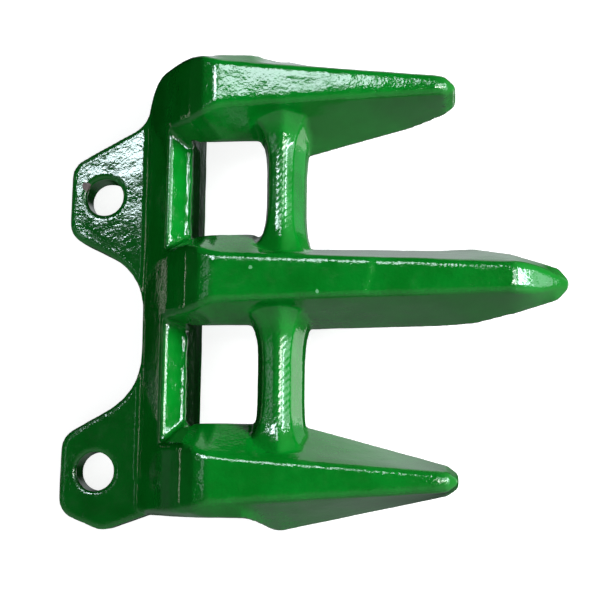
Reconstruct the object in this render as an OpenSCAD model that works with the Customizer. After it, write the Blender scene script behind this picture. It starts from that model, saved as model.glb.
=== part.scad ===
// Three-finger mower knife guard, one forging, lying belly up.
// X runs along the fingers to their points, Y along the cutter bar, Z up out of the belly.
// The origin is on the mounting face, midway between the two bolt holes.

/* [Bolt ears] */
// Distance between the two bolt holes
bolt_spacing = 76.2; // [72:0.1:80]
// Diameter of the bolt holes
bolt_d = 10.5; // [8:0.1:13]
// Thickness of the bolt ears
ear_t = 8; // [6.5:0.1:9.5]
// From the bolt line to the rear edge of the ears
ear_back = 9.7; // [8.5:0.1:12]
// Width of an ear at its rear edge
ear_rear_w = 20.3; // [18:0.1:22]
// Distance by which the rear edges of the ears sit off the bolts
ear_skew = 0.9; // [0:0.1:1.5]
// Width of an ear at the bolt line
ear_bolt_w = 30.6; // [28:0.1:33]
// Rounding of the rear corners of the ears
ear_r = 6; // [3:0.1:7]
// Radius of the scallop between the ears
scallop_r = 18.2; // [10:0.1:20]
// From the bolt line to the widest place of the ear beside the outer finger
ear_bulge_x = 2.4; // [1.5:0.1:4]
// Radius of the neck between the other ear and the round shoulder
neck_r = 10; // [4:0.1:10.5]

/* [Rear beam] */
// From the bolt line to the foot of the rear ramp
beam_foot = 12.2; // [11:0.1:13]
// Length of the ramp, from its foot to the level belly
ramp_l = 23.9; // [22:0.1:27]
// Fillet between the ears and the ramp
ramp_r = 4; // [2:0.1:6]
// From the foot of the ramp to the front wall of the beam
beam_w = 15.1; // [14.5:0.1:17]
// Height of the crest of the beam above the mounting face
beam_h = 22.4; // [21:0.1:24]
// Rounding of the crest of the beam
crest_r = 1; // [0.5:0.1:1.5]
// Height of the ridge on the front slope of the beam
ridge_h = 17; // [14:0.1:18]
// From the front wall of the beam back to that ridge
ridge_set = 0.8; // [0.5:0.1:2]
// Height of the plain front wall of the beam
wall_h = 8.5; // [5:0.1:11]

/* [Fingers] */
// Distance between neighbouring fingers
finger_pitch = 50.8; // [49:0.1:53]
// From the middle of the bolt pair to the axis of the middle finger
finger_shift = 10.8; // [9:0.1:12.7]
// Height of the belly above the mounting face
belly_h = 33.5; // [31:0.1:36]
// Width of the belly at the windows
belly_w = 13.7; // [12:0.1:15]
// Rounding along the edges of the belly
belly_r = 2.2; // [1:0.1:3]
// Widening of the belly on the ramp, to each side
belly_flare = 2.5; // [1:0.1:4]
// Length over which the belly takes on that width
flare_l = 10; // [6:0.1:14]
// Width of the middle finger at the rim of the windows
root_w = 24; // [22:0.1:27]
// From the axis of an outer finger to its free side at the windows
free_half = 9.5; // [8.5:0.1:10.5]
// Depth of the slope between the belly and the free side
free_flank = 5.3; // [3:0.1:8]
// Length of the round shoulder behind the outer finger that has no ear beside it, at its foot
shoulder_foot_l = 4; // [3:0.1:9]
// Length of that shoulder along the belly
shoulder_l = 8; // [7:0.1:14]
// Height of the knife plane above the mounting face
knife_h = 10.5; // [9:0.1:12]
// Thickness of the shearing edge above the knife plane
edge_t = 0.8; // [0.5:0.1:2]

/* [Short fingers] */
// Length of the short fingers ahead of the cross bars
short_l = 40.2; // [34:0.1:46]
// From the axis of a short finger to its edge on the gap side, at the cross bars
short_gap_half = 15.6; // [13:0.1:17]
// From the axis of a short finger to its edge on the free side, at the cross bars
short_free_half = 12.9; // [11:0.1:14]
// From the axis of a short finger to its edge on the gap side, at its blunt end
short_gap_end = 3.5; // [3.2:0.1:5]
// From the axis of a short finger to its edge on the free side, at its blunt end
short_free_end = 2.9; // [2.8:0.1:5]
// Width of the belly at the end of the short fingers
short_belly_w = 5.8; // [5:0.1:6.5]
// Fall of the belly along the short fingers
short_fall = 6; // [4:0.1:8]
// Length of the rounding at the end of the belly
short_nose_l = 5; // [3:0.1:7]
// Fall of that rounding
short_nose_h = 3.2; // [2:0.1:5]
// Rise of the underside at the end of the short fingers
short_rise = 4; // [2:0.1:5]
// Rounding of the blunt ends in plan
short_end_r = 1.5; // [0.5:0.1:2.5]

/* [Long finger] */
// Length of the long finger ahead of the cross bars
long_l = 68.8; // [60:0.1:78]
// Width of the long finger at the knife plane, at the cross bars
long_w = 21.8; // [20:0.1:26]
// Width of the long finger where its point begins
point_w = 19.6; // [17:0.1:21]
// Length of the point
point_l = 20.7; // [18:0.1:26]
// Width of the blunt tip
tip_w = 6.7; // [5.5:0.1:8]
// Rounding of the tip in plan
tip_r = 2.4; // [1:0.1:2.6]
// Width of the belly where the nose begins
long_belly_w = 8.6; // [7:0.1:10]
// Fall of the belly along the long finger
long_fall = 4.4; // [3:0.1:6]
// Length of the sloping nose
nose_l = 14.3; // [10:0.1:17]
// Fall of the sloping nose
nose_h = 11; // [8:0.1:12]
// Rise of the underside at the point
point_rise = 5.5; // [3:0.1:6.5]

/* [Windows and cross bars] */
// Length of the windows, from the beam to the cross bars
window_l = 18.9; // [16:0.1:21]
// Width of the windows between the fingers
window_w = 25.5; // [23:0.1:27]
// Distance by which the windows sit off the middle between the fingers
window_shift = 1; // [0:0.1:1.5]
// Height of the roof of the groove for the knife back
groove_h = 20; // [18:0.1:23]
// Width of the cross bars
bar_w = 11.4; // [10:0.1:14]
// By how much the cross bar next to the round shoulder is slimmer at its rear
bar_trim = 1.6; // [0:0.1:3]
// From the rear edge of a cross bar to its crest
bar_crest = 6.9; // [6:0.1:8]
// Height of the crest of the cross bars above the mounting face
bar_h = 26; // [25:0.1:28]
// Height of the rear edge of the cross bars, below the bevel
bar_rear_h = 19; // [15:0.1:21]
// Width of the bevel along the rear of the cross bars
bar_bevel = 2.3; // [1:0.1:3]
// From the front edge of a cross bar back to the break of its front slope
bar_break = 2.1; // [1:0.1:3]
// Height of that break
bar_break_h = 23.2; // [21:0.1:24]
// Height of the front edge of the cross bars
bar_front_h = 16.5; // [13:0.1:19]
// Reach of the fillets between cross bar and finger, to the front
bar_fillet_front = 3.5; // [1:0.1:6]
// Reach of the fillets between cross bar and finger, to the rear
bar_fillet_rear = 5; // [1:0.1:7]
// Rise of the fillets between cross bar and finger
bar_fillet_top = 2.5; // [1:0.1:4]

/* [Hidden] */

beam_front = beam_foot + beam_w;
belly_x = beam_foot + ramp_l;
bar_rear = beam_front + window_l;
bar_front = bar_rear + bar_w;
short_tip = bar_front + short_l;
long_tip = bar_front + long_l;
point_x = long_tip - point_l;
bolt_y = bolt_spacing / 2;
upper_finger = finger_shift + finger_pitch;
lower_finger = finger_shift - finger_pitch;
// From the axis of an outer finger to the rim of its window
outer_root = finger_pitch - root_w / 2 - window_w;
// The flanks at the windows end this far above the roof of the groove
rim_t = 2.5;
window_flank = belly_h - groove_h - rim_t;
// The beam lies this much below the ramp of the fingers
beam_inset = 0.25;
ridge_r = 0.8;
// The bevel of a cross bar ends this far below its crest
bevel_drop = 0.9;
bar_crest_r = 2.5;
bar_edge_r = 1;
// The fillets of a cross bar grow with this power of the distance from its middle
fillet_power = 4;
// From here back towards the ramp the belly grows wider
flare_end = belly_x + flare_l / 5;
// The flanks swing from the rim of the windows to the shearing edge over this length
swing_l = 6;
// Share of its width that the belly loses along the nose
long_pinch = 0.7;
short_pinch = 0.4;
// A rounding takes up at most this share of the height and of the width that it lies in
round_high = 0.4;
round_wide = 0.8;
// Share of the shoulder's width that is left at the very foot
shoulder_floor = 0.2;
// The neck is this much straighter than the side of its ear
neck_share = 0.9;
// Solids that are joined reach this far into each other
overlap = 0.5;
cut_margin = 1;
arc_steps = 5;

// Sides of a finger: half width at the windows, at the cross bars and at the end, flare of the belly,
// depth of the flank at the windows, length of a round shoulder at the foot and along the belly
WINDOW = 0;
BARS = 1;
END = 2;
FLARE = 3;
FLANK = 4;
FOOT_ROUND = 5;
BELLY_ROUND = 6;
function long_side(shift) = [root_w / 2 + shift, long_w / 2, tip_w / 2, belly_flare, window_flank, 0, 0];
function gap_side(shift) =
    [outer_root + shift, short_gap_half, short_gap_end, belly_flare, window_flank, 0, 0];
function free_side(foot_round, belly_round) =
    [free_half, short_free_half, short_free_end, belly_flare, free_flank, foot_round, belly_round];

function clamp(t) = min(1, max(0, t));
function lerp(a, b, t) = a + (b - a) * clamp(t);
function smooth(t) = let (c = clamp(t)) c * c * (3 - 2 * c);
function blend(a, b, t) = a + (b - a) * smooth(t);
// Quarter circle: 0 at the start, level at 1
function quarter(t) = sqrt(1 - pow(1 - clamp(t), 2));

// Outline through corners [x, y, radius], each corner rounded by an arc
function unit(v) = v / norm(v);
function turn(a, b) = a[0] * b[1] - a[1] * b[0];
function corner(p, c, q, r, steps) =
    let (u = unit(p - c), v = unit(q - c),
         half = acos(u * v) / 2,
         centre = c + unit(u + v) * r / sin(half),
         sweep = (180 - 2 * half) * sign(turn(v, u)),
         start = c + u * r / tan(half) - centre)
    [for (i = [0:steps])
        let (a = sweep * i / steps)
        centre + [start[0] * cos(a) - start[1] * sin(a), start[0] * sin(a) + start[1] * cos(a)]];
function rounded(pts, steps = 7) =
    let (n = len(pts), xy = [for (p = pts) [p[0], p[1]]])
    [for (i = [0:n - 1])
        each pts[i][2] == 0
            ? [xy[i]]
            : corner(xy[(i + n - 1) % n], xy[i], xy[(i + 1) % n], pts[i][2], steps)];

// Solid through a row of sections that all have the same number of points
module loft(sections) {
    m = len(sections[0]);
    last = len(sections) - 1;
    sides = [for (i = [0:last - 1], j = [0:m - 1])
        let (a = i * m + j, b = i * m + (j + 1) % m)
        each [[b, a, b + m], [b + m, a, a + m]]];
    ends = [[for (j = [0:m - 1]) j], [for (j = [m - 1:-1:0]) last * m + j]];
    polyhedron([for (s = sections) each s], concat(sides, ends), convexity = 6);
}

// Solid with an upright profile in X and Z, from one Y to another
module along_bar(profile, from, to) {
    translate([0, to, 0])
        rotate([90, 0, 0])
            linear_extrude(to - from)
                polygon(profile);
}

// Rear ramp: steep at its foot, level where it meets the belly
function ramp_z(x) = ear_t + (belly_h - ear_t) * sin(90 * clamp((x - beam_foot) / ramp_l));
function ramp_x(z) = beam_foot + ramp_l * asin((z - ear_t) / (belly_h - ear_t)) / 90;

// Belly height along a finger: ramp, gentle fall, then a sloping or a rounded nose
function belly_z(x, long) =
    let (nose_x = long ? long_tip - nose_l : short_tip - short_nose_l,
         fall = (long ? long_fall : short_fall) * (x - belly_x) / (nose_x - belly_x),
         u = clamp((x - nose_x) / (long ? nose_l : short_nose_l)),
         drop = long ? nose_h * u * (3 + u) / 4 : short_nose_h * (1 - sqrt(1 - u * u)))
    x < belly_x ? ramp_z(x) : belly_h - fall - drop;

// Share of the width that is left beside a round shoulder of the given length
function shoulder(x, length) =
    length == 0 ? 1 : max(shoulder_floor, quarter((x - beam_foot) / length));

// Half width at the foot of a flank: rim of the window, then shearing edge
function edge_half(x, long, side) =
    let (tip = long ? long_tip : short_tip, r = long ? tip_r : short_end_r,
         start = bar_rear + swing_l,
         taper = !long ? lerp(side[BARS], side[END], (x - start) / (tip - start))
            : x < point_x ? lerp(side[BARS], point_w / 2, (x - bar_front) / (point_x - bar_front))
            : lerp(point_w / 2, side[END], (x - point_x) / point_l))
    taper - r * (1 - quarter((tip - x) / r));
function foot_half(x, long, side) =
    blend(side[WINDOW], edge_half(x, long, side), (x - bar_rear + swing_l / 4) / swing_l)
        * shoulder(x, side[FOOT_ROUND]);

// Half width of the belly
function belly_half(x, long, side) =
    let (nose_x = long ? long_tip - nose_l : short_tip - short_nose_l,
         u = clamp((x - nose_x) / (long ? nose_l : short_nose_l)),
         flare = side[FLARE] * smooth((flare_end - x) / flare_l),
         end_w = long ? long_belly_w : short_belly_w,
         body = lerp(belly_w, end_w, (x - belly_x) / (nose_x - belly_x)) / 2)
    min((body + flare) * shoulder(x, side[BELLY_ROUND]), foot_half(x, long, side) - edge_t)
        * (1 - (long ? long_pinch : short_pinch) * u * u);

// Height of the underside, before the knife groove trims it, and of the foot of a flank
function rise(x, long) = long
    ? point_rise * smooth((x - point_x + nose_l) / point_l)
    : short_rise * smooth((x - short_tip + nose_l) / nose_l);
function under_z(x, long) =
    blend(0, knife_h - overlap, (x - bar_rear + swing_l) / swing_l) + rise(x, long);
function foot_z(x, long, side) =
    let (root = max(edge_t, belly_z(x, long) - side[FLANK]))
    blend(root, knife_h + edge_t + rise(x, long), (x - bar_rear + swing_l / 4) / swing_l);

// Cross-section of a finger across X: flat underside, sloping flanks, rounded belly
function finger_section(x, y, long, left, right) =
    let (top = belly_z(x, long), low = under_z(x, long),
         foot_l = foot_half(x, long, left), foot_r = foot_half(x, long, right),
         z_l = foot_z(x, long, left), z_r = foot_z(x, long, right),
         a_l = belly_half(x, long, left), a_r = belly_half(x, long, right),
         r = min(belly_r, round_high * (top - max(z_l, z_r)), round_wide * min(a_l, a_r)),
         lean_l = atan2(foot_l - a_l, top - z_l), lean_r = atan2(foot_r - a_r, top - z_r))
    concat(
        [[x, y - foot_l, low], [x, y + foot_r, low], [x, y + foot_r, z_r]],
        [for (i = [0:arc_steps]) let (t = lerp(lean_r, 90, i / arc_steps))
            [x, y + a_r - r + r * cos(t), top - r + r * sin(t)]],
        [for (i = [0:arc_steps]) let (t = lerp(90, 180 - lean_l, i / arc_steps))
            [x, y - a_l + r + r * cos(t), top - r + r * sin(t)]],
        [[x, y - foot_l, z_l]]);

// Stations along a finger, closer together on the ramp, at the cross bars and at the nose
function finger_stations(tip) =
    let (swing = bar_rear - swing_l / 2)
    concat(
        [for (i = [0:10]) beam_foot + ramp_l * pow(i / 10, 1.6)],
        [for (i = [1:3]) lerp(belly_x, swing, i / 3)],
        [for (i = [1:6]) lerp(swing, bar_rear + swing_l, i / 6)],
        [for (i = [1:6]) lerp(bar_rear + swing_l, tip - nose_l, i / 6)],
        [for (i = [1:8]) tip - nose_l * cos(90 * i / 8)]);

module finger(y, long, left, right) {
    tip = long ? long_tip : short_tip;
    loft([for (x = finger_stations(tip)) finger_section(x, y, long, left, right)]);
}

// Cross bar between two fingers: bevel, crest and broken front slope, flaring into the fingers
function bar_section(y, t, trim) =
    let (edge = pow(abs(t), fillet_power),
         rear = bar_rear + trim - bar_fillet_rear * edge,
         bevel = rear + bar_bevel - trim / 2,
         front = bar_front + bar_fillet_front * edge,
         low = knife_h - overlap,
         rise = bar_fillet_top * edge,
         top = bar_h + rise)
    [for (p = rounded([
            [front, low, 0], [front, bar_front_h + rise, bar_edge_r],
            [front - bar_break, bar_break_h + rise, bar_edge_r], [bar_rear + bar_crest, top, bar_crest_r],
            [bevel, top - bevel_drop, bar_edge_r], [rear, bar_rear_h + rise, bar_edge_r], [rear, low, 0]], 4))
        [p[0], y, p[1]]];

module cross_bar(y, trim) {
    half = (finger_pitch - belly_w) / 2;
    steps = 16;
    loft([for (i = [0:steps]) let (t = 1 - 2 * i / steps) bar_section(y + half * t, t, trim)]);
}

// Plan of the ears, with the scallop between them and the footprint of the beam ahead of them
function plan() =
    let (slope = (ear_bolt_w - ear_rear_w) / 2 / ear_back,
         rear = ear_rear_w / 2, mid = ear_bolt_w / 2,
         upper_rear = bolt_y - ear_skew, lower_rear = -bolt_y - ear_skew,
         scallop = bolt_y - mid - slope * beam_foot,
         neck_x = beam_foot + edge_t,
         lower_side = lower_finger - free_half + overlap,
         upper_side = upper_finger + free_half / 2)
    rounded([
        [-ear_back, upper_rear - rear, ear_r], [beam_foot, scallop, scallop_r],
        [beam_foot, -scallop, scallop_r], [-ear_back, lower_rear + rear, ear_r],
        [-ear_back, lower_rear - rear, ear_r], [ear_bulge_x, -bolt_y - mid - slope * ear_bulge_x / 2, ear_r],
        [beam_foot + ramp_r, lower_side, ear_r], [beam_front, lower_side, 0],
        [beam_front, upper_side, 0], [neck_x, upper_side, 0],
        [neck_x, bolt_y + mid + slope * neck_x * neck_share, neck_r], [-ear_back, upper_rear + rear, ear_r]]);

// Rear beam: fillet, ramp, crest, a slope down to a ridge, and the front wall
module beam() {
    crest_x = ramp_x(beam_h);
    ramp_end = crest_x - crest_r;
    steps = 5;
    ramp = [for (i = [1:steps])
        let (x = lerp(beam_foot, ramp_end, i / steps))
        [x, ramp_z(x) - beam_inset, 0]];
    profile = concat(
        [[beam_foot - ramp_r, 0, 0], [beam_foot - ramp_r, ear_t - overlap, 0], [beam_foot, ear_t, ramp_r]],
        ramp,
        [[crest_x + crest_r / 2, beam_h, crest_r], [beam_front - ridge_set, ridge_h, ridge_r],
         [beam_front, wall_h, ridge_r], [beam_front, 0, 0]]);
    intersection() {
        along_bar(rounded(profile), lower_finger, upper_finger);
        linear_extrude(belly_h)
            polygon(plan());
    }
}

// Room for the back of the knife, and the plane that the knife slides on
module knife_groove() {
    reach = long_tip + cut_margin;
    along_bar([[beam_front, -cut_margin], [beam_front, groove_h], [bar_rear, groove_h], [bar_rear, knife_h],
               [reach, knife_h], [reach, -cut_margin]],
              lower_finger - finger_pitch, upper_finger + finger_pitch);
}

module guard() {
    color("forestgreen")
    difference() {
        union() {
            linear_extrude(ear_t)
                polygon(plan());
            beam();
            finger(finger_shift, true, long_side(-window_shift), long_side(window_shift));
            finger(upper_finger, false, gap_side(-window_shift), free_side(shoulder_foot_l, shoulder_l));
            finger(lower_finger, false, free_side(0, 0), gap_side(window_shift));
            cross_bar(finger_shift + finger_pitch / 2, bar_trim);
            cross_bar(finger_shift - finger_pitch / 2, 0);
        }
        knife_groove();
        for (side = [-1, 1])
            translate([0, side * bolt_y, -cut_margin])
                cylinder(d = bolt_d, h = belly_h + 2 * cut_margin, $fn = 64);
    }
}

guard();
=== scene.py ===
import math

import bpy
import numpy as np
from mathutils import Euler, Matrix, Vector, noise
from mathutils.bvhtree import BVHTree


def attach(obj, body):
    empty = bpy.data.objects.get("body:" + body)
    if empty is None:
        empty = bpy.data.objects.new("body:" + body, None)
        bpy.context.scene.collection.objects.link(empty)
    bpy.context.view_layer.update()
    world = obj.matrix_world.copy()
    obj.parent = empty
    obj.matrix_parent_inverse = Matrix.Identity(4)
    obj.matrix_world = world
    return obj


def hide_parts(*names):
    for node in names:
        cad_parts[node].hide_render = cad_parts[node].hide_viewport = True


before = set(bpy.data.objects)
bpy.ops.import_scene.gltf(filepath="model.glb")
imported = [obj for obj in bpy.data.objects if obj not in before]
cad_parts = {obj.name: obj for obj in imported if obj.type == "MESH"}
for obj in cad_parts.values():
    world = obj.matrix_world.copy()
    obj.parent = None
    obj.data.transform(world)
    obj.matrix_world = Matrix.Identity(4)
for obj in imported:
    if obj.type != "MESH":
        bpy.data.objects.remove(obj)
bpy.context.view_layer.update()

# Lengths are in metres, places are in the part's frame

# Mesh: size of its quads, and rounds of smoothing
VOXEL = 0.00062
EDGE_ROUNDS = 4
TIP_ROUNDS = 16
FLANK_ROUNDS = 40
# Share of the sharpness that shearing edges and pockets keep
SHEAR_KEPT = 0.8
POCKET_KEPT = 0.7
# How far a point moves towards its neighbours, and how much of that the tips give back
INWARD = 0.5
TIP_OUTWARD = 0.49

# Places on the guard
KNIFE_Z = 0.0105
POCKET_X = (0.0185, 0.0205)
TIPS_X = (0.092, 0.096)
BAR_REAR_X = 0.0462
BAR_FRONT_X = 0.0576
BAR_CREST_X = 0.0535
BAR_TOP_Z = 0.0235
RIDGE_X = 0.0268
RIDGE_Z = 0.0166
MIDDLE_FINGER_Y = 0.0108
FINGER_PITCH = 0.0508
GAP_HALF = (0.0115, 0.0135)

# Die step across the middle finger's belly: place, height, slant, half length, half width and fade behind it
STEP_X = 0.0762
STEP_H = 0.00020
STEP_SLANT = 0.18
STEP_HALF = 0.0009
STEP_HALF_W = (0.0085, 0.0105)
STEP_FADE = (-0.03, -0.004)
# Bead on the ridge behind the windows: radius, height and its variation, size of the lumps
BEAD_R = 0.0010
BEAD_H = 0.00042
BEAD_LUMP = 0.0024
# Waves of the forged skin: height, size and seed of each
WAVES = ((0.00007, 0.007, 1), (0.00003, 0.0028, 2))
BEAD_SEED = 3

# Enamel
GREENS = ((0.0004, 0.130, 0.008, 1), (0.0008, 0.164, 0.012, 1))
# Paler grey green that paints the sheen of the pale surroundings onto the flanks
FLANK_SHEEN_GREEN = (0.03, 0.15, 0.035, 1)
# Pale green of the primer, also used for painted glints along the edges
PALE_PRIMER_AND_GLINT = (0.12, 0.36, 0.17, 1)
BARE_STEEL = (0.20, 0.13, 0.13, 1)
PEEL_H = 0.00009
MARK_SPACING = 0.0012
# Bare spot in the paint beside the upper hole, and scuffs on the middle finger
BARE_AT = (-0.0052, 0.0411, 0.0080)
BARE_R = 0.0017
SCUFFS_AT = ((0.0461, 0.0130, 0.0328), (0.0630, 0.0069, 0.0319), (0.0313, 0.0046, 0.0315))
SCUFF_R = 0.0007

# The photograph's camera: place, turn and focal length in photo pixels
CAMERA_AT = (0.096428, -0.041276, 0.325942)
CAMERA_TURN = (0.155, 0.126, -0.007)
FOCAL_PX = 1198.095
IMAGE_PX = 600
SENSOR_MM = 36.0

# Studio: name, place, size, brightness and colour of each panel, which faces AIM
AIM = (0.04, 0.01, 0.02)
WHITE = (1, 1, 1)
COOL = (0.80, 0.94, 1.0)
WARM = (1.0, 0.96, 0.86)
COLOUR_PANELS = (
    ("key", (0.865, 0.18, 0.33), (0.34, 0.20), 77.0, WHITE),
    ("fill", (-0.25, -0.30, 0.95), (1.0, 1.0), 1.0, WHITE),
)
GLEAM_PANELS = (
    ("window", (0.95, 0.16, 0.335), (0.36, 0.17), 34.0, COOL),
    ("low_window", (0.95, 0.07, 0.10), (0.40, 0.17), 4.0, COOL),
    ("lower_bar_front", (0.70, 0.02, -0.60), (0.26, 0.60), 1.6, WHITE),
    ("upper_bar_front", (0.70, 0.30, -0.60), (0.30, 0.60), 0.4, COOL),
    ("ramp_low_strip", (-0.60, 0.10, -0.38), (0.22, 0.03), 1.2, WARM),
    ("ramp_strip", (-0.85, 0.10, 0.066), (0.36, 0.045), 5.0, WARM),
    ("ramp_gleam", (-0.60, -0.05, -0.26), (0.19, 0.44), 0.10, COOL),
)
# Level panels at one height: name, lowest and highest x and y, brightness and colour
SHEEN_Z = 0.8
SHEEN_PANELS = (
    ("ear_panel", (-0.33, 0.265), (-0.12, 0.45), 34.0, COOL),
    ("finger_panel", (-0.02, 0.315), (0.20, 0.58), 18.0, COOL),
    ("ramp_top_strip", (-0.45, -0.10), (-0.39, 0.22), 3.0, COOL),
    ("lower_bar_strip", (0.40, -0.02), (1.40, 0.13), 32.0, WHITE),
    ("upper_bar_strip", (0.46, 0.20), (1.10, 0.34), 12.0, COOL),
)
FLOOR_SIZE = 24.0
FLOOR_AT = (0.05, 0.01, -0.0002)


def smoothstep(low, high, value):
    t = np.clip((value - low) / (high - low), 0, 1)
    return t * t * (3 - 2 * t)


# Mesh

def remeshed(source, name):
    """A finer copy of a solid's mesh, made of even small quads."""
    piece = bpy.data.objects.new(name, source.data.copy())
    bpy.context.scene.collection.objects.link(piece)
    remesh = piece.modifiers.new("fine", "REMESH")
    remesh.mode = "VOXEL"
    remesh.voxel_size = VOXEL
    bpy.context.view_layer.update()
    shown = piece.evaluated_get(bpy.context.evaluated_depsgraph_get())
    mesh = bpy.data.meshes.new_from_object(shown)
    piece.modifiers.clear()
    piece.data = mesh
    mesh.materials.clear()
    return piece


def vertex_array(mesh):
    co = np.zeros(len(mesh.vertices) * 3, np.float32)
    mesh.vertices.foreach_get("co", co)
    return co.reshape(-1, 3).astype(float)


def edge_array(mesh):
    edges = np.zeros(len(mesh.edges) * 2, np.int32)
    mesh.edges.foreach_get("vertices", edges)
    return edges.reshape(-1, 2)


def snapped(co, source):
    """Each point moved to the nearest place on a solid's own surface."""
    corners = [v.co for v in source.data.vertices]
    surface = BVHTree.FromPolygons(corners, [tuple(p.vertices) for p in source.data.polygons])
    return np.array([surface.find_nearest(Vector(p))[0] for p in co])


def neighbour_mean(values, edges, count):
    total = np.zeros_like(values)
    np.add.at(total, edges[:, 0], values[edges[:, 1]])
    np.add.at(total, edges[:, 1], values[edges[:, 0]])
    return total / count[:, None]


def relax(co, edges, weight, rounds, outward=0.0):
    """Rounds edges and fills corners, as far as each point's weight allows.

    A step outward after each step inward gives back most of the lost size.
    """
    count = np.bincount(edges.ravel(), minlength=len(co)).astype(float)
    for _ in range(rounds):
        co = co + INWARD * weight[:, None] * (neighbour_mean(co, edges, count) - co)
        if outward:
            co = co - outward * weight[:, None] * (neighbour_mean(co, edges, count) - co)
    return co


def vertex_normals(mesh):
    n = np.zeros(len(mesh.vertices) * 3, np.float32)
    mesh.vertex_normals.foreach_get("vector", n)
    return n.reshape(-1, 3).astype(float)


def set_vertices(mesh, co):
    mesh.vertices.foreach_set("co", co.astype(np.float32).ravel())
    mesh.update()


def set_attribute(mesh, name, values):
    layer = mesh.attributes.new(name, "FLOAT", "POINT")
    layer.data.foreach_set("value", values.astype(np.float32))


def noise_field(co, size, seed):
    """Smooth noise from -1 to 1 with bumps of about the given size."""
    shift = Vector((seed * 7.13, seed * 3.71, seed * 5.37))
    return np.array([noise.noise(Vector(p) / size + shift) for p in co])


def outward_bend(co, normal, edges, rounds):
    """How sharply the surface turns outward at each point, about 1 on an edge."""
    count = np.bincount(edges.ravel(), minlength=len(co)).astype(float)
    bend = -8 * np.einsum("ij,ij->i", neighbour_mean(co, edges, count) - co, normal) / VOXEL
    for _ in range(rounds):
        bend = 0.5 * bend + 0.5 * neighbour_mean(bend[:, None], edges, count)[:, 0]
    return bend


def between_fingers(y):
    """1 in the gaps between the fingers, 0 at the fingers."""
    from_gap = np.abs(np.abs(y - MIDDLE_FINGER_Y) - FINGER_PITCH / 2)
    return 1 - smoothstep(*GAP_HALF, from_gap)


def rounded(co, edges):
    """Rounded edges and rounder points, with crisp shearing edges and pockets."""
    ahead = smoothstep(BAR_REAR_X, BAR_REAR_X + 0.004, co[:, 0])
    low = 1 - smoothstep(KNIFE_Z + 0.001, KNIFE_Z + 0.004, co[:, 2])
    pocket = between_fingers(co[:, 1]) * smoothstep(*POCKET_X, co[:, 0])
    weight = 1 - np.maximum(SHEAR_KEPT * ahead * low, POCKET_KEPT * pocket)
    co = relax(co, edges, weight, EDGE_ROUNDS)
    tips = smoothstep(*TIPS_X, co[:, 0]) * (1 - SHEAR_KEPT * low)
    return relax(co, edges, tips, TIP_ROUNDS, TIP_OUTWARD)


def smooth_flanks(co, normal, edges):
    """The flanks of the fingers, ahead of the cross bars, without facets."""
    steep = 1 - smoothstep(0.45, 0.55, np.abs(normal[:, 2]))
    ahead = smoothstep(BAR_FRONT_X + 0.002, BAR_FRONT_X + 0.004, co[:, 0])
    turn = np.abs(outward_bend(co, normal, edges, 2))
    plain = steep * ahead * (1 - smoothstep(0.1, 0.25, turn))
    return relax(co, edges, plain, FLANK_ROUNDS)


def die_step(co, normal):
    """Height that the die step adds to the middle finger's belly."""
    off_axis = co[:, 1] - MIDDLE_FINGER_Y
    ahead = co[:, 0] - (STEP_X + STEP_SLANT * off_axis)
    step = STEP_H * (1 - smoothstep(-STEP_HALF, STEP_HALF, ahead))
    near_axis = 1 - smoothstep(*STEP_HALF_W, np.abs(off_axis))
    return step * smoothstep(*STEP_FADE, ahead) * near_axis * smoothstep(0.5, 0.9, normal[:, 2])


def forging(source):
    """The whole guard with the rounded edges and slight waves of a forging."""
    piece = remeshed(source, "forging")
    mesh = piece.data
    edges = edge_array(mesh)
    co = rounded(snapped(vertex_array(mesh), source), edges)
    set_vertices(mesh, co)
    co = smooth_flanks(co, vertex_normals(mesh), edges)
    set_vertices(mesh, co)
    normal = vertex_normals(mesh)
    co[:, 2] += die_step(co, normal)
    # Uneven bead along the ridge, and slight waves
    off_ridge = np.hypot(co[:, 0] - RIDGE_X, co[:, 2] - RIDGE_Z)
    bead = np.exp(-(off_ridge / BEAD_R) ** 2) * between_fingers(co[:, 1])
    bead_h = BEAD_H * (1 + noise_field(co * np.array((0, 1, 0)), BEAD_LUMP, BEAD_SEED))
    waves = sum(height * noise_field(co, size, seed) for height, size, seed in WAVES)
    co = co + normal * (waves + bead * bead_h)[:, None]
    set_vertices(mesh, co)
    mesh.polygons.foreach_set("use_smooth", np.ones(len(mesh.polygons), bool))
    # Places for the enamel: edges apart from the glossy bead, flanks of the fingers, crests of the bars
    normal = vertex_normals(mesh)
    set_attribute(mesh, "edge", np.clip(outward_bend(co, normal, edges, 8), -1, 1) * (1 - bead))
    flank = (1 - smoothstep(0.6, 0.8, normal[:, 2])) * smoothstep(-0.2, 0.0, normal[:, 2])
    set_attribute(mesh, "flank", flank * smoothstep(BAR_FRONT_X - 0.0005, BAR_FRONT_X + 0.0015, co[:, 0]))
    crest = between_fingers(co[:, 1]) * (1 - smoothstep(0.0010, 0.0026, np.abs(co[:, 0] - BAR_CREST_X)))
    set_attribute(mesh, "crest", crest * smoothstep(BAR_TOP_Z - 0.001, BAR_TOP_Z, co[:, 2]))
    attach(piece, "root")
    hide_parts("guard")
    return piece


# Materials

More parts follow.
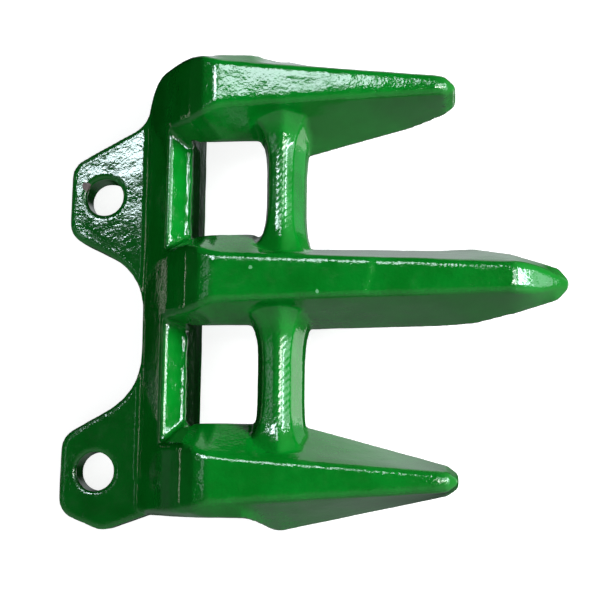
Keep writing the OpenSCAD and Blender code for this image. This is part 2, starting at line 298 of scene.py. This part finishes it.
class Nodes:
    """Short helpers to build a node tree."""

    def __init__(self, name):
        self.material = bpy.data.materials.new(name)
        self.material.use_nodes = True
        self.tree = self.material.node_tree
        self.shader = self.tree.nodes["Principled BSDF"]
        self.where = self.add("ShaderNodeTexCoord").outputs["Object"]

    def add(self, kind, **settings):
        node = self.tree.nodes.new(kind)
        for key, value in settings.items():
            setattr(node, key, value)
        return node

    def link(self, source, target):
        self.tree.links.new(source, target)

    def attribute(self, name):
        return self.add("ShaderNodeAttribute", attribute_name=name).outputs["Fac"]

    def noise(self, scale, detail=2.0, rough=0.5):
        node = self.add("ShaderNodeTexNoise")
        node.inputs["Scale"].default_value = scale
        node.inputs["Detail"].default_value = detail
        node.inputs["Roughness"].default_value = rough
        self.link(self.where, node.inputs["Vector"])
        return node.outputs["Fac"]

    def math(self, operation, a, b=None):
        node = self.add("ShaderNodeMath", operation=operation)
        for socket, value in zip(node.inputs, (a, b)):
            if value is None:
                continue
            if isinstance(value, (int, float)):
                socket.default_value = value
            else:
                self.link(value, socket)
        return node.outputs[0]

    def ramp(self, value, low, high, out_low=0.0, out_high=1.0):
        node = self.add("ShaderNodeMapRange", interpolation_type="SMOOTHSTEP")
        for key, number in (("From Min", low), ("From Max", high), ("To Min", out_low), ("To Max", out_high)):
            node.inputs[key].default_value = number
        self.link(value, node.inputs["Value"])
        return node.outputs["Result"]

    def spot(self, at, radius):
        """1 near a place, with a ragged edge."""
        node = self.add("ShaderNodeVectorMath", operation="DISTANCE")
        self.link(self.where, node.inputs[0])
        node.inputs[1].default_value = at
        ragged = self.math("MULTIPLY", self.noise(900.0), radius)
        far = self.math("ADD", node.outputs["Value"], ragged)
        return self.ramp(far, radius * 1.1, radius * 1.3, 1.0, 0.0)

    def slanted_waves(self, spacing):
        """Ridges that run at a slant across the cross bars."""
        node = self.add("ShaderNodeVectorMath", operation="DOT_PRODUCT")
        self.link(self.where, node.inputs[0])
        turn = 2 * math.pi / spacing
        node.inputs[1].default_value = (0.75 * turn, -0.65 * turn, 0)
        wobble = self.math("MULTIPLY", self.noise(300.0), 3.0)
        return self.math("SINE", self.math("ADD", node.outputs["Value"], wobble))

    def mix(self, factor, a, b):
        node = self.add("ShaderNodeMix", data_type="RGBA")
        self.link(factor, node.inputs["Factor"])
        for socket, value in ((node.inputs[6], a), (node.inputs[7], b)):
            if isinstance(value, tuple):
                socket.default_value = value
            else:
                self.link(value, socket)
        return node.outputs[2]


def enamel():
    n = Nodes("green_enamel")
    edge = n.attribute("edge")
    flank = n.attribute("flank")
    crest = n.attribute("crest")
    # Edges where the paint is worn, also where the pale painted glints go
    edge_wear_and_glints = n.ramp(edge, 0.35, 0.7)
    bare = n.spot(BARE_AT, BARE_R)
    # Colour: deep green, a little uneven, and a paler grey green on the smooth flanks, a painted sheen of the
    # pale surroundings
    patches = n.ramp(n.noise(90.0, 3.0, 0.55), 0.35, 0.65)
    green = n.mix(patches, *GREENS)
    green = n.mix(n.math("MULTIPLY", flank, 0.35), green, FLANK_SHEEN_GREEN)
    # Pale flecks along the edges, partly chips down to pale primer and partly painted glints; scuffs down to
    # pale primer, and the bare spot
    chips_and_glints = n.math("MULTIPLY", edge_wear_and_glints, n.ramp(n.noise(700.0, 3.0, 0.6), 0.62, 0.70))
    for at in SCUFFS_AT:
        chips_and_glints = n.math("MAXIMUM", chips_and_glints, n.spot(at, SCUFF_R))
    colour = n.mix(bare, n.mix(chips_and_glints, green, PALE_PRIMER_AND_GLINT), BARE_STEEL)
    n.link(colour, n.shader.inputs["Base Color"])
    # Gloss with small dull spots, duller on worn edges, on the crests of the bars and on the bare spot
    rough = n.ramp(n.noise(420.0, 3.0, 0.6), 0.35, 0.75, 0.06, 0.15)
    worn = n.ramp(n.noise(650.0, 2.0, 0.5), 0.38, 0.54, 0.0, 0.25)
    rough = n.math("ADD", rough, n.math("MULTIPLY", edge_wear_and_glints, worn))
    rough = n.math("ADD", rough, n.math("MULTIPLY", crest, 0.08))
    n.link(n.math("MAXIMUM", rough, n.math("MULTIPLY", bare, 0.7)), n.shader.inputs["Roughness"])
    n.shader.inputs["Specular IOR Level"].default_value = 0.5
    # Orange peel: pebbles, stronger on edges, over slow waves; slanted marks on the crests
    pebbles = n.math("MULTIPLY", n.noise(1300.0, 2.0, 0.5), n.ramp(edge, 0.08, 0.30, 0.45, 1.0))
    peel = n.math("ADD", pebbles, n.math("MULTIPLY", n.noise(480.0, 2.0, 0.5), 0.6))
    peel = n.math("MULTIPLY", peel, n.ramp(crest, 0.0, 1.0, 1.0, 0.3))
    marks = n.math("MULTIPLY", n.slanted_waves(MARK_SPACING), crest)
    bump = n.add("ShaderNodeBump")
    bump.inputs["Distance"].default_value = PEEL_H
    n.link(n.math("ADD", peel, n.math("MULTIPLY", marks, 0.17)), bump.inputs["Height"])
    # The flanks are flatter
    n.link(n.ramp(flank, 0.0, 1.0, 1.0, 0.6), bump.inputs["Strength"])
    n.link(bump.outputs["Normal"], n.shader.inputs["Normal"])
    return n.material


def floor_material():
    n = Nodes("pale_floor")
    tone = n.mix(n.noise(6.0, 2.0, 0.5), (0.45, 0.45, 0.45, 1), (0.47, 0.47, 0.47, 1))
    n.link(tone, n.shader.inputs["Base Color"])
    n.shader.inputs["Roughness"].default_value = 0.9
    n.shader.inputs["Specular IOR Level"].default_value = 0.1
    n.shader.inputs["Emission Color"].default_value = (1, 1, 1, 1)
    n.shader.inputs["Emission Strength"].default_value = 0.84
    return n.material


# Stage

def floor():
    bpy.ops.mesh.primitive_plane_add(size=FLOOR_SIZE, location=FLOOR_AT)
    plane = bpy.context.active_object
    plane.name = "floor"
    plane.data.materials.append(floor_material())
    plane.visible_glossy = False
    plane.visible_diffuse = False


def panel_light(name, at, size, radiance, colour):
    """A panel of the given brightness that faces the part, out of the camera's sight."""
    data = bpy.data.lights.new(name, "AREA")
    data.shape = "RECTANGLE"
    data.size, data.size_y = size
    data.energy = radiance * math.pi * size[0] * size[1]
    data.color = colour
    lamp = bpy.data.objects.new(name, data)
    lamp.location = at
    lamp.rotation_euler = (Vector(AIM) - Vector(at)).to_track_quat("-Z", "Y").to_euler()
    lamp.visible_camera = False
    bpy.context.scene.collection.objects.link(lamp)
    return lamp


def room():
    """Dim room light: pale to the right, in front and low at the back, dark to the left."""
    world = bpy.data.worlds.new("room")
    world.use_nodes = True
    tree = world.node_tree
    background = tree.nodes["Background"]
    background.inputs["Color"].default_value = (0.92, 0.97, 1.0, 1)
    where = tree.nodes.new("ShaderNodeTexCoord")
    split = tree.nodes.new("ShaderNodeSeparateXYZ")
    tree.links.new(where.outputs["Generated"], split.inputs[0])

    def ramp(axis, *numbers):
        node = tree.nodes.new("ShaderNodeMapRange")
        for key, number in zip(("From Min", "From Max", "To Min", "To Max"), numbers):
            node.inputs[key].default_value = number
        tree.links.new(split.outputs[axis], node.inputs["Value"])
        return node.outputs["Result"]

    def join(operation, a, b):
        node = tree.nodes.new("ShaderNodeMath")
        node.operation = operation
        tree.links.new(a, node.inputs[0])
        tree.links.new(b, node.inputs[1])
        return node.outputs[0]

    right = join("MULTIPLY", ramp("X", 0.1, 0.9, 0.03, 0.45), ramp("Z", -0.10, 0.05, 0.08, 1.0))
    front = join("MULTIPLY", ramp("Y", -0.5, -0.1, 0.45, 0.0), ramp("Z", -0.10, 0.05, 0.65, 1.0))
    back = join("MULTIPLY", ramp("Y", 0.1, 0.5, 0.0, 0.8), ramp("Z", -0.35, -0.05, 1.0, 0.0))
    middle = join("MULTIPLY", ramp("X", -0.50, -0.25, 0.0, 1.0), ramp("X", 0.10, 0.25, 1.0, 0.0))
    total = join("ADD", join("ADD", right, front), join("MULTIPLY", back, middle))
    # Past the floor's edge the background is plain and pale
    seen = tree.nodes.new("ShaderNodeLightPath").outputs["Is Camera Ray"]
    tree.links.new(join("MAXIMUM", total, seen), background.inputs["Strength"])
    bpy.context.scene.world = world


def lights():
    """Two panels light the colour, the others show only as gleams on the gloss."""
    for panel in COLOUR_PANELS:
        panel_light(*panel).visible_glossy = False
    for panel in GLEAM_PANELS:
        panel_light(*panel).visible_diffuse = False
    for name, low, high, radiance, colour in SHEEN_PANELS:
        centre = ((low[0] + high[0]) / 2, (low[1] + high[1]) / 2, SHEEN_Z)
        lamp = panel_light(name, centre, (high[0] - low[0], high[1] - low[1]), radiance, colour)
        lamp.rotation_euler = (0, 0, 0)
        lamp.visible_diffuse = False
    room()


def camera():
    data = bpy.data.cameras.new("camera")
    data.sensor_fit = "HORIZONTAL"
    data.sensor_width = SENSOR_MM
    data.lens = FOCAL_PX / IMAGE_PX * SENSOR_MM
    data.clip_start = 0.01
    eye = bpy.data.objects.new("camera", data)
    eye.location = CAMERA_AT
    eye.rotation_mode = "ZYX"
    eye.rotation_euler = Euler(CAMERA_TURN, "ZYX")
    bpy.context.scene.collection.objects.link(eye)
    bpy.context.scene.camera = eye


guard = forging(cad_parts["guard"])
guard.data.materials.append(enamel())
floor()
lights()
camera()
bpy.context.scene.view_settings.view_transform = "Standard"
